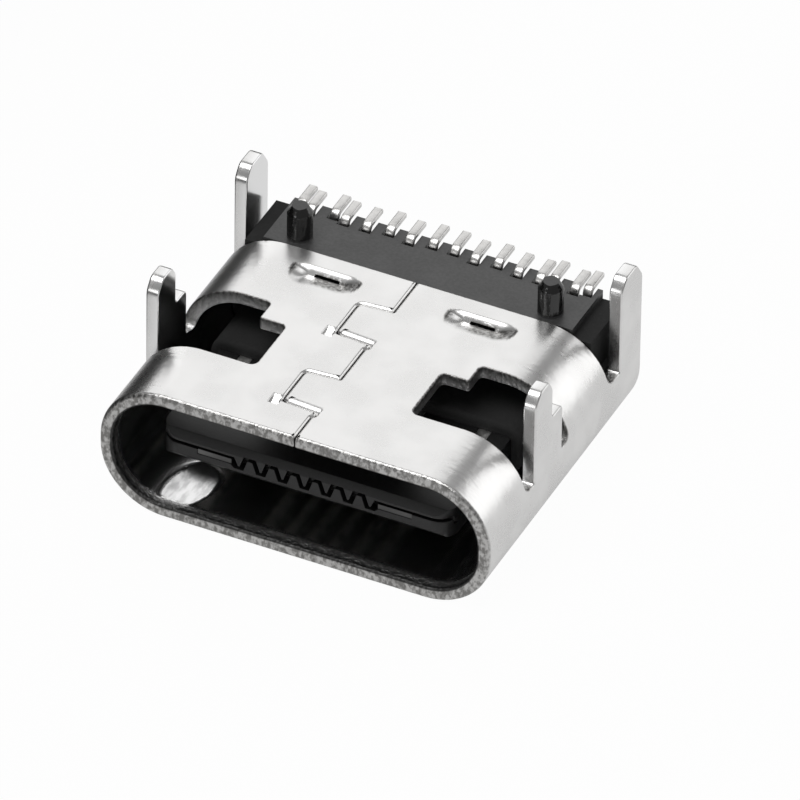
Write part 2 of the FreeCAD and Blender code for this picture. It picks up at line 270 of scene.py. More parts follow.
@dataclass(frozen=True)
class PlatedSteel:
    """Bright plated sheet, with duller streaky metal where the stamp has cut through it.

    The dented floor behind the mouth has a hammered bump, and its colour paints the patch of light
    that it reflects: blotchy, and bright and plain on its right, past the places in dent_right.
    """

    name: str = "plated_steel"
    face: float = 0.86
    face_dull: float = 0.78
    warmth: float = 0.006
    roughness: float = 0.25
    cloud_cells: float = 0.9
    cloud_span: tuple = (0.35, 0.65)
    cloud_roughness: float = 0.02
    grain_cells: float = 16.0
    grain_roughness: float = 0.05
    grain_depth: float = 0.0006
    cut: float = 0.58
    cut_dark: float = 0.24
    cut_warmth: tuple = (0.02, 0.01)
    cut_roughness: float = 0.34
    # Painted shade: cut edges are painted towards this black where the mask "cut" goes above 1.
    slit: float = 0.03
    streak_cells: tuple = (13.0, 13.0, 8.0)
    streak_span: tuple = (0.38, 0.64)
    streak_depth: float = 0.006
    crease_cells: tuple = (3.0, 8.0, 3.0)
    crease_depth: float = 0.008
    inner: float = 0.95
    inner_roughness: float = 0.14
    # Painted light: the dent's greys shape the patch of lamp light that the floor behind the mouth
    # reflects.
    dent: float = 0.27
    dent_dark: float = 0.09
    dent_right: tuple = (-3.4, -2.8)
    dent_right_share: float = 0.55
    hammer_cells: tuple = (8.0, 2.6, 8.0)
    hammer_span: tuple = (0.34, 0.62)
    hammer_depth: float = 0.010
    hammer_left: float = 1.2

    def make(self) -> bpy.types.Material:
        """Builds the material.

        Returns:
            The material, which reads the masks "cut", "inside", "dent" and "bent".
        """
        material, nodes, shader = start_material(self.name)
        place = nodes.place()
        cut, inside, dent = nodes.mask("cut"), nodes.mask("inside"), nodes.mask("dent")
        cloud = nodes.noise(place, self.cloud_cells, 2.0).ramp(*self.cloud_span)
        grain = nodes.noise(place, self.grain_cells, 2.0)
        streak = nodes.noise(nodes.place(self.streak_cells)).ramp(*self.streak_span)
        hammered = nodes.noise(nodes.place(self.hammer_cells))
        right = nodes.axis(place, 0).ramp(*self.dent_right)

        face = nodes.blend(cloud, grey(self.face_dull, self.warmth), grey(self.face, self.warmth))
        dark_warmth, cut_warmth = self.cut_warmth
        edge = nodes.blend(streak, grey(self.cut_dark, dark_warmth), grey(self.cut, cut_warmth))
        # Between 1 and 2 the mask "cut" paints the bare edge darker, as shade, down to black.
        bare_and_painted_shade = nodes.blend(cut.ramp(1.0, 2.0), edge, grey(self.slit))
        # Painted light: the patch is blotchy on the left, and plain and brighter to the right of the
        # places in dent_right.
        painted_light_blotches = hammered.ramp(*self.hammer_span) * (1 - self.dent_right_share)
        painted_light_patch = nodes.blend(painted_light_blotches + right * self.dent_right_share, grey(self.dent_dark), grey(self.dent))
        within = nodes.blend(dent, grey(self.inner), painted_light_patch)
        colour = nodes.blend(inside, nodes.blend(cut, face, bare_and_painted_shade), within)
        nodes.feed(shader.inputs["Base Color"], colour)

        rough = self.roughness + grain * self.grain_roughness + cloud * self.cloud_roughness
        rough = rough + cut * (self.cut_roughness - self.roughness)
        rough = rough + inside * (self.inner_roughness - self.roughness)
        nodes.feed(shader.inputs["Roughness"], rough)
        shader.inputs["Metallic"].default_value = 1.0

        crease = nodes.noise(nodes.place(self.crease_cells)) * nodes.mask("bent")
        normal = nodes.bump(grain * (1.0 - inside), self.grain_depth)
        normal = nodes.bump(crease, self.crease_depth, normal)
        normal = nodes.bump(streak * cut, self.streak_depth, normal)
        normal = nodes.bump(hammered * dent * (self.hammer_left - right), self.hammer_depth, normal)
        nodes.feed(shader.inputs["Normal"], normal)
        return material


@dataclass(frozen=True)
class Plastic:
    """Dark moulded plastic with a fine grain.

    The heights of the painted shade's edge and of the polished pegs are counted from the resting side.
    Below the first the plastic is painted black as shade and made rough; above it, it keeps its own
    colour; above the second it is glossy, and as dark as the painted shade.
    """

    name: str
    dark: float
    light: float
    roughness: float
    refraction: float = 1.5
    grain_cells: float = 14.0
    grain_span: tuple = (0.25, 0.75)
    grain_roughness: float = 0.12
    grain_depth: float = 0.004
    cloud_cells: float = 1.3
    cloud_span: tuple = (0.3, 0.7)
    cloud_share: float = 0.4
    # Painted shade: below these heights the colour is darkened by the share below.
    worn: tuple = (-2.0, -1.0)
    deep_share: float = 0.2
    deep_roughness: float = 0.5
    polished: tuple = (90.0, 91.0)
    polished_share: float = 0.4

    def make(self) -> bpy.types.Material:
        """Builds the material.

        Returns:
            The material.
        """
        material, nodes, shader = start_material(self.name)
        place = nodes.place()
        grain = nodes.noise(place, self.grain_cells, 2.0)
        cloud = nodes.noise(place, self.cloud_cells).ramp(*self.cloud_span)
        tone = grain.ramp(*self.grain_span) * (1 - self.cloud_share) + cloud * self.cloud_share
        height = nodes.axis(place, 2)
        peg = height.ramp(*self.polished)
        # Painted shade: below the first height the colour is darkened, on the ledges, the collar and the
        # lower walls; the pegs take the same dark colour.
        worn = height.ramp(*self.worn) * (1.0 - peg)
        surface = nodes.blend(tone, grey(self.dark), grey(self.light))
        colour = nodes.blend(worn, grey(self.dark * self.deep_share), surface)
        nodes.feed(shader.inputs["Base Color"], colour)
        rough = self.roughness + grain * self.grain_roughness + (1.0 - worn) * self.deep_roughness
        rough = nodes.between(peg, rough, self.roughness * self.polished_share)
        nodes.feed(shader.inputs["Roughness"], rough)
        shader.inputs["IOR"].default_value = self.refraction
        nodes.feed(shader.inputs["Normal"], nodes.bump(grain, self.grain_depth))
        return material


@dataclass(frozen=True)
class ContactPlating:
    """Pale matte plating on the contacts, a little uneven."""

    name: str = "contact_plating"
    light: float = 0.80
    dull: float = 0.62
    warmth: float = 0.012
    roughness: float = 0.26
    cloud_cells: float = 5.0
    cloud_span: tuple = (0.32, 0.68)
    cloud_roughness: float = 0.12
    grain_cells: float = 24.0
    grain_depth: float = 0.002

    def make(self) -> bpy.types.Material:
        """Builds the material.

        Returns:
            The material.
        """
        material, nodes, shader = start_material(self.name)
        place = nodes.place()
        cloud = nodes.noise(place, self.cloud_cells).ramp(*self.cloud_span)
        grain = nodes.noise(place, self.grain_cells, 2.0)
        colour = nodes.blend(cloud, grey(self.dull, self.warmth), grey(self.light, self.warmth))
        nodes.feed(shader.inputs["Base Color"], colour)
        nodes.feed(shader.inputs["Roughness"], self.roughness + cloud * self.cloud_roughness)
        shader.inputs["Metallic"].default_value = 1.0
        nodes.feed(shader.inputs["Normal"], nodes.bump(grain, self.grain_depth))
        return material


# Outlines on a flat sheet

NEARLY_STRAIGHT = 0.02
MOST_OF_A_SIDE = 0.48
ARC_STEP = math.radians(18)


@dataclass
class Corner:
    """One corner of an outline, with the radius that rounds it."""

    u: float
    y: float
    radius: float = 0.03

    @property
    def place(self) -> Vector:
        """The corner's point."""
        return Vector((self.u, self.y))


def arc_at(corner: Corner, before: Corner, after: Corner) -> list:
    """Rounds one corner.

    Args:
        corner: The corner itself.
        before: The outline's corner before it.
        after: The outline's corner after it.

    Returns:
        The points along its arc, or its own point where it stays sharp.
    """
    here = corner.place
    back = before.place - here
    ahead = after.place - here
    turn = back.angle(ahead)
    half = turn / 2
    if corner.radius <= 0 or turn > math.pi - NEARLY_STRAIGHT:
        return [here]
    longest = min(back.length * MOST_OF_A_SIDE, ahead.length * MOST_OF_A_SIDE)
    reach = min(corner.radius / math.tan(half), longest)
    radius = reach * math.tan(half)
    inward = (back.normalized() + ahead.normalized()).normalized()
    centre = here + inward * (radius / math.sin(half))
    start = here + back.normalized() * reach - centre
    end = here + ahead.normalized() * reach - centre
    sweep = start.angle_signed(end)
    pieces = max(3, math.ceil(abs(sweep) / ARC_STEP))
    arc = []
    for count in range(pieces + 1):
        angle = -sweep * count / pieces
        spun = Vector((start.x * math.cos(angle) - start.y * math.sin(angle),
                       start.x * math.sin(angle) + start.y * math.cos(angle)))
        arc.append(centre + spun)
    return arc


def rounded(corners: Sequence[Corner], step: float) -> list:
    """A closed outline with its corners rounded and its sides divided.

    Args:
        corners: The outline's corners in order.
        step: The longest side between two points.

    Returns:
        Points (u, y) in the same order.
    """
    points = []
    for index, corner in enumerate(corners):
        points += arc_at(corner, corners[index - 1], corners[(index + 1) % len(corners)])
    divided = []
    for index, point in enumerate(points):
        after = points[(index + 1) % len(points)]
        pieces = max(1, math.ceil((after - point).length / step))
        divided += [point.lerp(after, count / pieces) for count in range(pieces)]
    return [(point.x, point.y) for point in divided]


def is_inside(points: Array, loops: Sequence[Array]) -> Array:
    """Which points lie inside an odd number of loops.

    Args:
        points: One row (u, y) for each point.
        loops: The closed outlines.

    Returns:
        True or false for each point.
    """
    inside = np.zeros(len(points), bool)
    for loop in loops:
        following = np.roll(loop, -1, axis=0)
        for (u0, y0), (u1, y1) in zip(loop, following):
            if y0 == y1:
                continue
            crosses = (points[:, 1] >= min(y0, y1)) & (points[:, 1] < max(y0, y1))
            at = u0 + (points[:, 1] - y0) * (u1 - u0) / (y1 - y0)
            inside ^= crosses & (points[:, 0] < at)
    return inside


def distance_to(points: Array, loops: Sequence[Array]) -> Array:
    """How far each point lies from the nearest side of any loop.

    Args:
        points: One row (u, y) for each point.
        loops: The closed outlines.

    Returns:
        One distance for each point.
    """
    nearest = np.full(len(points), np.inf)
    for loop in loops:
        following = np.roll(loop, -1, axis=0)
        for start, end in zip(loop, following):
            along = end - start
            share = ((points - start) @ along) / max(along @ along, 1e-12)
            foot = start + np.clip(share, 0, 1)[:, None] * along
            nearest = np.minimum(nearest, np.linalg.norm(points - foot, axis=1))
    return nearest


def smooth(value: Array) -> Array:
    """A soft step from 0 to 1."""
    held = np.clip(value, 0, 1)
    return held * held * (3 - 2 * held)


def rise(value: Array, start: float, run: Union[float, Array]) -> Array:
    """A soft step up, from 0 at start to 1 a run further on."""
    return smooth((value - start) / run)


def fall(value: Array, end: float, run: Union[float, Array]) -> Array:
    """A soft step down, from 1 a run before the end to 0 at the end."""
    return smooth((end - value) / run)


def unit(vectors: Array) -> Array:
    """The same directions with length 1."""
    return vectors / np.linalg.norm(vectors, axis=1)[:, None]


# The shell


@dataclass(frozen=True)
class Leg:
    """One leg: its run behind the mouth, its height, and how its tip is cut back and rounded.

    A cut is given along the leg's width and down its height, and the two radii round its corners
    in the same order.
    """

    start: float
    end: float
    top: float
    rear_cut: tuple
    rear_radii: tuple
    shoulder: Optional[float] = None
    front_cut: tuple = (0.22, 0.26)
    front_radii: tuple = (0.22, 0.30)


@dataclass
class ShellSizes:
    """The sizes of the shell's sheet and of its flat blank.

    On the blank, u runs along the outside of the tube, from the middle of the board side to the
    right, down, and back up on the left, and y runs from the mouth to the rear. The fade is the
    length over which one kind of edge passes into another.
    """

    # The tube
    width: float = 8.94
    height: float = 3.16
    length: float = 7.35
    sheet: float = 0.30
    bend: float = 1.48
    face_length: float = 5.85

    # The windows and the legs
    window_front: float = 1.83
    window_step: float = 3.31
    window_rear: float = 3.88
    window_inner: float = 1.79
    window_short: float = 2.41
    notch_top: float = 1.98
    front_leg: Leg = Leg(2.16, 2.97, 4.20, (0.18, 0.26), (0.16, 0.20), shoulder=3.48)
    rear_leg: Leg = Leg(6.33, 7.35, 4.30, (0.28, 0.40), (0.20, 0.30))

    # The seam with its tabs and relief cuts
    seam_half: float = 0.012
    seam_strip: float = 1.0
    tab_reach: float = 0.765
    tab_starts: tuple = (1.06, 3.60)
    tab_length: float = 1.12
    tab_slope: float = 0.06
    tab_front_gap: float = 0.08
    pocket_front_gap: float = 0.10
    pocket_gap: float = 0.022
    bulge: float = 0.065
    tab_bulge_run: tuple = (0.13, 0.20)
    pocket_bulge_run: tuple = (0.11, 0.18)
    relief_half: float = 0.125
    relief_run: tuple = (0.11, -0.17)
    relief_slope: float = 0.44

    # The pressed dimples
    dimple_x: float = 1.79
    dimple_fold: float = 5.25
    dimple_half: float = 0.83
    dimple_ramp: float = 0.42
    dimple_reach: tuple = (0.57, 0.17)
    dimple_depth: float = 0.155
    dimple_curve: float = 1.7
    slit_half: tuple = (0.28, 0.025)

    # The rounding of the edges
    edge_round: float = 0.045
    inner_edge_round: float = 0.03
    mouth_outer_round: float = 0.09
    mouth_inner_round: float = 0.07
    seam_round: float = 0.065
    tab_front_round: float = 0.19
    pocket_rear_round: float = 0.10
    slit_round: float = 0.015
    fade: float = 0.1

    def __post_init__(self) -> None:
        """Works out the places on the blank that follow from the sizes."""
        self.flat = self.width / 2 - self.bend
        self.quarter = self.bend * math.pi / 2
        self.upright_run = self.height - 2 * self.bend
        self.lower_bend = self.flat + self.quarter + self.upright_run
        self.side = self.flat + self.quarter + self.upright_run / 2
        self.round_trip = 4 * self.side
        drop = self.notch_top - self.height + self.bend
        self.notch = self.flat + self.bend * math.acos(drop / self.bend)

    def leg_u(self, height: float) -> float:
        """Where on the blank a leg reaches this height."""
        return self.side - (height - self.height / 2)

    def off_middle(self, u: Array) -> Array:
        """How far round the tube each place lies from the board side's middle, either way."""
        return np.minimum(u, self.round_trip - u)

    def signed(self, u: Array) -> Array:
        """The same distance, negative on the left."""
        return np.where(u > self.round_trip / 2, u - self.round_trip, u)


@dataclass
class ShellBlank(ShellSizes):
    """The flat blank, cut out and divided into triangles.

    A patch is where more points are added: its reach along u and y, and the step between them. The
    margins are kept free beyond an edge's own rounding.
    """

    step: float = 0.11
    bend_pieces: int = 12
    under_pieces: int = 10
    row_start: float = 0.15
    row_step: float = 0.24
    dimple_patch: tuple = (0.86, 4.62, 5.48, 0.035)
    relief_patch: tuple = (-1.08, -0.78, -0.36, 0.16, 0.02)
    dent_patch: tuple = (-1.0, 0.9, 0.1, 1.9, 0.07)
    margin: float = 0.03
    tab_margin: float = 0.04
    slit_margin: float = 0.02
    near_slit: tuple = (0.15, 0.16)
    near_pocket: float = 0.16

    def leg_outline(self, leg: Leg) -> list:
        """The outline of a leg on the right, from its front notch to its rear one.

        Args:
            leg: The leg's sizes.

        Returns:
            The corners. They stop at the rear tip where the leg has no shoulder.
        """
        top, board = self.leg_u(leg.top), self.leg_u(self.height)
        corners = [Corner(self.notch, leg.start, 0.05),
                   Corner(self.leg_u(leg.top - leg.front_cut[1]), leg.start, leg.front_radii[1]),
                   Corner(top, leg.start + leg.front_cut[0], leg.front_radii[0]),
                   Corner(top, leg.end - leg.rear_cut[0], leg.rear_radii[0]),
                   Corner(self.leg_u(leg.top - leg.rear_cut[1]), leg.end, leg.rear_radii[1])]
        if leg.shoulder is not None:
            corners += [Corner(board, leg.end, 0.10), Corner(board, leg.shoulder, 0.12),
                        Corner(self.notch, leg.shoulder, 0.10)]
        return corners

    def window(self) -> list:
        """The right window on the blank, with the front leg standing in it.

        Returns:
            The corners.
        """
        front, step, rear = self.window_front, self.window_step, self.window_rear
        outline = [Corner(self.notch, front, 0.14), Corner(self.window_inner, front, 0.15),
                   Corner(self.window_inner, step, 0.12), Corner(self.window_short, step, 0.05),
                   Corner(self.window_short, rear, 0.12), Corner(self.notch, rear, 0.16)]
        return outline + self.leg_outline(self.front_leg)[::-1]

    def mirrored(self, corners: Sequence[Corner]) -> list:
        """The same outline on the left side, in the order that keeps its turn."""
        return [Corner(self.round_trip - c.u, c.y, c.radius) for c in reversed(corners)]

    def tab_edge(self, start: float) -> list:
        """The right sheet's edge round one tab.

        Args:
            start: Where the tab starts behind the mouth.

        Returns:
            The corners, from the tab's rear to its front.
        """
        end = start + self.tab_length
        left = -self.tab_reach
        front = start - self.tab_front_gap
        nook = self.seam_half + self.bulge
        narrows, ends = self.tab_bulge_run
        return [Corner(self.seam_half, end, 0.03), Corner(left, end - self.tab_slope, 0.13),
                Corner(left, front + self.tab_slope, 0.10), Corner(nook, front, 0.03),
                Corner(nook, front - narrows, 0.05), Corner(self.seam_half, front - ends, 0.06)]

    def pocket_edge(self, start: float) -> list:
        """The left sheet's edge round one tab.

        Args:
            start: Where the tab starts behind the mouth.

        Returns:
            The corners, from the pocket's front to its rear.
        """
        end = start + self.tab_length + self.seam_half
        left = self.round_trip - self.tab_reach - self.pocket_gap
        front = start - self.pocket_front_gap
        tip = self.round_trip - self.seam_half
        nook = tip + self.bulge
        narrows, ends = self.pocket_bulge_run
        return [Corner(tip, front - ends, 0.06), Corner(nook, front - narrows, 0.05),
                Corner(nook, front, 0.03), Corner(left, front + self.tab_slope, 0.10),
                Corner(left, end - self.tab_slope, 0.13), Corner(tip, end, 0.03)]

    def outline(self) -> list:
        """The blank's outer edge.

        Returns:
            The corners: along the mouth, back along the left sheet's seam, round the rear and its
            legs, and forward along the right sheet's seam.
        """
        tip = self.round_trip - self.seam_half
        rear = [Corner(self.notch, self.face_length, 0.16)] + self.leg_outline(self.rear_leg)
        edge = [Corner(self.seam_half, 0.0), Corner(tip, 0.0)]
        for start in self.tab_starts:
            edge += self.pocket_edge(start)
        edge.append(Corner(tip, self.face_length))
        edge += self.mirrored(rear)[::-1] + rear[::-1]
        edge.append(Corner(self.seam_half, self.face_length))
        for start in reversed(self.tab_starts):
            edge += self.tab_edge(start)
        return edge

    def slit(self) -> list:
        """The slit in the right dimple's floor.

        Returns:
            The corners.
        """
        half_x, half_y = self.slit_half
        turns = ((-1, -1), (1, -1), (1, 1), (-1, 1))
        return [Corner(self.dimple_x + right * half_x, self.dimple_fold + back * half_y, 0.02)
                for right, back in turns]

    def grid(self) -> Array:
        """Points all over the blank, close enough for its bends, and closer where it is pressed.

        Returns:
            One row (u, y) for each point.
        """
        many = self.bend_pieces
        half = [self.flat * n / many for n in range(-4, many)]
        half += [self.flat + self.quarter * n / many for n in range(many + 1)]
        half += [self.lower_bend + self.quarter * n / many for n in range(many + 1)] + [self.side]
        floor_start = self.lower_bend + self.quarter
        half += [floor_start + self.flat * n / self.under_pieces for n in range(1, self.under_pieces + 1)]
        lines = half + [self.round_trip - u for u in half]
        rows = np.arange(self.row_start, self.length, self.row_step)
        places = [(u, y) for u in sorted(set(lines)) for y in rows]

        reach, front, rear, fine = self.dimple_patch
        patches = [((x - reach, x + reach), (front, rear), fine) for x in (self.dimple_x, -self.dimple_x)]
        left, right, front, rear, fine = self.relief_patch
        patches += [((left, right), (start + front, start + rear), fine) for start in self.tab_starts]
        left, right, front, rear, fine = self.dent_patch
        patches.append(((left - floor_start, right - floor_start), (front, rear), fine))
        for across, along, fine in patches:
            for u in np.arange(*across, fine):
                for y in np.arange(*along, fine):
                    places.append((u if u > 0 else self.round_trip + u, y))
        return np.array(places)

    def room_needed(self, grid: Array) -> Array:
        """How far each point has to stay from the outlines, so that their rounding has room.

        Args:
            grid: One row (u, y) for each point.

        Returns:
            One distance for each point.
        """
        u, y = grid[:, 0], grid[:, 1]
        across = self.off_middle(u)
        beside_seam = (across < self.seam_strip + self.fade) & (y < self.face_length - self.fade)
        needed = np.where(beside_seam, self.seam_round + self.margin, self.step)
        at_slit = np.abs(across - self.dimple_x) < self.slit_half[0] + self.near_slit[0]
        at_slit &= np.abs(y - self.dimple_fold) < self.near_slit[1]
        needed = np.where(at_slit, self.slit_round + self.slit_margin, needed)
        at_front = self.tab_front_round + self.tab_margin
        for start in self.tab_starts:
            front, end = start - self.tab_front_gap, start + self.tab_length
            on_tab = (u < self.seam_strip) & (np.abs(y - front) < at_front)
            behind = (u > self.seam_strip) & beside_seam & (np.abs(y - end) < self.near_pocket)
            needed = np.where(on_tab, at_front, needed)
            needed = np.where(behind, self.pocket_rear_round + self.margin, needed)
        return needed

    def cut_out(self) -> tuple:
        """Cuts the blank into triangles.

        Returns:
            The points (u, y) that are used, and the triangles, all turned the same way.
        """
        right_holes = [self.window(), self.slit()]
        holes = right_holes + [self.mirrored(hole) for hole in right_holes]
        loops = [np.array(rounded(corners, self.step)) for corners in [self.outline()] + holes]
        grid = self.grid()
        grid = grid[is_inside(grid, loops)]
        grid = grid[distance_to(grid, loops) > self.room_needed(grid)]
        points, sides = [], []
        for loop in loops:
            first = len(points)
            points += [Vector(point) for point in loop]
            sides += [(first + n, first + (n + 1) % len(loop)) for n in range(len(loop))]
        points += [Vector(point) for point in grid]
        verts, _, faces, _, _, _ = geometry.delaunay_2d_cdt(points, sides, [], 0, 1e-6)
        flat = np.array([(v.x, v.y) for v in verts])
        triangles = np.array([face for face in faces if len(face) == 3])
        triangles = triangles[is_inside(flat[triangles].mean(axis=1), loops)]
        used = np.unique(triangles)
        renumber = np.full(len(flat), -1)
        renumber[used] = np.arange(len(used))
        flat, triangles = flat[used], renumber[triangles]
        first_side = flat[triangles[:, 1]] - flat[triangles[:, 0]]
        second_side = flat[triangles[:, 2]] - flat[triangles[:, 0]]
        area = first_side[:, 0] * second_side[:, 1] - first_side[:, 1] * second_side[:, 0]
        triangles[area < 0] = triangles[area < 0][:, ::-1]
        return flat, triangles


@dataclass
class Rim:
    """The blank's edge points, with the points after them and how the edge runs there.

    Here inward is the direction into the sheet, and miter is the step that takes a point 1 away
    from both of its sides.
    """

    ring: Array
    after: Array
    inward: Array
    miter: Array

    @classmethod
    def of(cls, flat: Array, triangles: Array) -> "Rim":
        """Finds the rim of a triangulated blank.

        Args:
            flat: The blank's points (u, y).
            triangles: Its triangles, all turned the same way.

        Returns:
            The rim.
        """
        edges = {(start, end) for a, b, c in triangles for start, end in ((a, b), (b, c), (c, a))}
        following = {start: end for (start, end) in edges if (end, start) not in edges}
        previous = {end: start for start, end in following.items()}
        ring = np.array(sorted(following))
        after = np.array([following[n] for n in ring])
        before = np.array([previous[n] for n in ring])
        along = unit(flat[after] - flat[ring])
        both = along + unit(flat[ring] - flat[before])
        inward = np.stack([-both[:, 1], both[:, 0]], axis=1)
        inward /= np.maximum(np.linalg.norm(inward, axis=1), 1e-9)[:, None]
        square = np.stack([-along[:, 1], along[:, 0]], axis=1)
        turn = np.clip(np.sum(inward * square, axis=1), 0.5, 1)
        return cls(ring, after, inward, inward / turn[:, None])


@dataclass
class FoldedShell(ShellBlank):
    """The shell: its blank folded round the full-round mouth, with rounded edges.

    A step is a soft change, given by where it starts, or ends where it falls, and by its run. A
    bareness is a level of the mask "cut": 0 is plated, 1 is bare, and above 1 the metal is painted
    darker as shade, black at 2. In the dimples the normals are pressed dimple_sheen times as deep as
    the shape, and they are tilted where the floor behind the mouth's left corner is dented.
    """

    # Edges and reliefs
    round_pieces: int = 4
    mouth_run: float = 0.12
    turned_step: tuple = (0.6, 0.35)
    seam_end: float = 0.05
    leg_root: float = 0.1
    slit_band: tuple = (0.05, 0.02)
    relief_side: float = 0.04
    relief_end: float = 0.05

    # Painted shade in the dimples: duller front ramps and dark ends
    dimple_sheen: float = 1.8
    stretch_step: tuple = (0.12, 0.3)
    stretch_left: tuple = (-0.30, 0.2)
    stretch_rear: tuple = (0.05, 0.04)
    stretch_bareness: float = 1.1
    end_step: tuple = (0.66, 0.1)
    end_edge: float = 0.12
    end_bareness: float = 1.7

    # Bared metal at the edges, and painted shade above a bareness of 1
    seam_start: tuple = (0.06, 0.08)
    behind_rim: tuple = (0.3, 0.3)
    behind_bareness: float = 0.6
    leg_plating: float = 0.95
    slit_bareness: float = 0.4
    lead_in: float = 0.2
    lead_in_step: tuple = (0.55, 0.1)
    lead_in_bareness: float = 0.8
    rubbed_step: tuple = (0.34, 0.2)
    rubbed_bareness: float = 1.8
    edge_sharpness: float = 4.0
    crease_runs: tuple = (0.2, 0.3)
    inner_step: tuple = (0.1, 0.2)

    # The dented floor
    dent_middle: tuple = (0.08, 0.80)
    dent_reach: tuple = (0.66, 0.86)
    dent_skew: float = 0.35
    dent_edge: float = 1.1
    dent_soft: tuple = (0.2, 0.55)
    dent_soft_step: tuple = (0.15, 0.7)
    dent_tilt: tuple = (0.475, 0.13)
    dent_aside: float = 0.1

    def in_dimple(self, x: Array, y: Array) -> Array:
        """How far in from a dimple's outline each place lies.

        Args:
            x: Distance from the middle of the board side.
            y: Distance behind the mouth.

        Returns:
            1 at the dimple's slit, 0 outside it.
        """
        core = self.dimple_half - self.dimple_ramp
        past_x = np.maximum(np.abs(np.abs(x) - self.dimple_x) - core, 0) / self.dimple_ramp
        ahead = y - self.dimple_fold
        past_y = np.where(ahead > 0, ahead / self.dimple_reach[1], -ahead / self.dimple_reach[0])
        return np.clip(1 - np.hypot(past_x, past_y), 0, 1)

    def stretched(self, u: Array, y: Array) -> Array:
        """Where a dimple is painted in shade: its front ramp dull and its two ends dark.

        Args:
            u: Distance along the outside of the tube.
            y: Distance behind the mouth.

        Returns:
            How much painted shade there is, as a bareness: 0 is plated, and above 1 it darkens.
        """
        x = self.signed(u)
        inside = self.in_dimple(x, y)
        off_slit = np.where(x > 0, x - self.dimple_x, x + self.dimple_x)
        rear, run = self.stretch_rear
        front = rise(inside, *self.stretch_step) * rise(off_slit, *self.stretch_left)
        front = self.stretch_bareness * front * fall(y, self.dimple_fold + rear, run)
        ends = rise(inside, 0.0, self.end_edge) * rise(np.abs(off_slit), *self.end_step)
        return np.maximum(front, self.end_bareness * ends)

    def hollow(self, u: Array, y: Array, depth: Array) -> Array:
        """How deep the dimples press the sheet down, and the reliefs its outer face.

        Args:
            u: Distance along the outside of the tube.
            y: Distance behind the mouth.
            depth: Depth under the outer face.

        Returns:
            How far down each place is pressed.
        """
        x = self.signed(u)
        deep = self.dimple_depth * self.in_dimple(x, y) ** self.dimple_curve
        off = np.abs(x + self.tab_reach + self.pocket_gap + self.relief_half)
        across = fall(off, self.relief_half, self.relief_side) * (u > self.round_trip / 2)
        for start in self.tab_starts:
            rear, front = (start + run for run in self.relief_run)
            run = np.clip(rear - y, 0, rear - front) * self.relief_slope
            within = across * rise(y, front - self.relief_end, self.relief_end)
            deep = deep + run * within * (1 - depth / self.sheet)
        return deep

    def upright(self, u: Array, y: Array) -> Array:
        """How far each place belongs to a leg, which goes straight up from the side of the tube.

        Args:
            u: Distance along the outside of the tube.
            y: Distance behind the mouth.

        Returns:
            1 on a leg, 0 on the tube, and between them in the notches.
        """
        up = self.off_middle(u)
        share = np.zeros_like(u)
        runs = ((self.window_front, self.front_leg.start, self.front_leg.shoulder, self.window_rear),
                (self.face_length, self.rear_leg.start, self.length, self.length + 1))
        for before, start, end, after in runs:
            in_run = np.minimum(rise(y, before, start - before), fall(y, after, after - end))
            share = np.maximum(share, in_run)
        return np.where((up < self.side) & (up > self.window_short + self.leg_root), share, 0.0)

    def fold(self, u: Array, y: Array, depth: Array) -> Array:
        """Places of the blank's points on the folded shell.

        Args:
            u: Distance along the outside of the tube.
            y: Distance behind the mouth.
            depth: Depth under the outer face.

        Returns:
            One row (x, y, z) for each point, in millimetres.
        """
        around = self.off_middle(u)
        run = around - self.flat
        first = np.clip(run, 0, self.quarter) / self.bend
        down = np.clip(run - self.quarter, 0, self.upright_run)
        second = np.clip(run - self.quarter - self.upright_run, 0, self.quarter) / self.bend
        under = np.maximum(run - 2 * self.quarter - self.upright_run, 0)
        reach = self.bend - depth
        x = np.minimum(around, self.flat) + reach * (np.sin(first) + np.cos(second) - 1) - under
        z = self.height - self.bend + reach * (np.cos(first) - np.sin(second)) - down
        straight = self.upright(u, y)
        x = x + straight * (self.width / 2 - depth - x)
        z = z + straight * (self.height / 2 + self.side - around - z)
        z = z - self.hollow(u, y, depth) * (around < self.flat)
        side = np.where(u > self.round_trip / 2, -1.0, 1.0)
        return np.stack([side * x, y, z], axis=1)

    def in_slit(self, points: Array) -> Array:
        """Which points lie on the edge of a dimple's slit.

        Args:
            points: One row (u, y) for each point.

        Returns:
            1 or 0 for each point.
        """
        across = np.abs(self.off_middle(points[:, 0]) - self.dimple_x)
        along = np.abs(points[:, 1] - self.dimple_fold)
        past_x, past_y = self.slit_band
        near = (across < self.slit_half[0] + past_x) & (along < self.slit_half[1] + past_y)
        return near.astype(float)

    def radii(self, points: Array, inward: Array) -> tuple:
        """The rounding of the sheet's edges at each point of an outline.

        Args:
            points: One row (u, y) for each point.
            inward: The direction into the sheet there.

        Returns:
            The radius of the outer edge and that of the inner one, for each point.
        """
        u, y = points[:, 0], points[:, 1]
        near_mouth = fall(y, self.mouth_run, self.mouth_run)
        at_seam = fall(self.off_middle(u), self.seam_strip, self.fade)
        at_seam = at_seam * fall(y, self.face_length - self.seam_end, self.fade)
        outer = self.edge_round + (self.seam_round - self.edge_round) * at_seam
        forward = rise(inward[:, 1], *self.turned_step) * at_seam
        wide = np.where(u < self.seam_strip, self.tab_front_round, self.pocket_rear_round)
        outer = outer + (wide - outer) * forward
        outer = outer + (self.slit_round - outer) * self.in_slit(points)
        outer = outer + (self.mouth_outer_round - outer) * near_mouth
        inner = self.inner_edge_round + (self.mouth_inner_round - self.inner_edge_round) * near_mouth
        return outer, inner

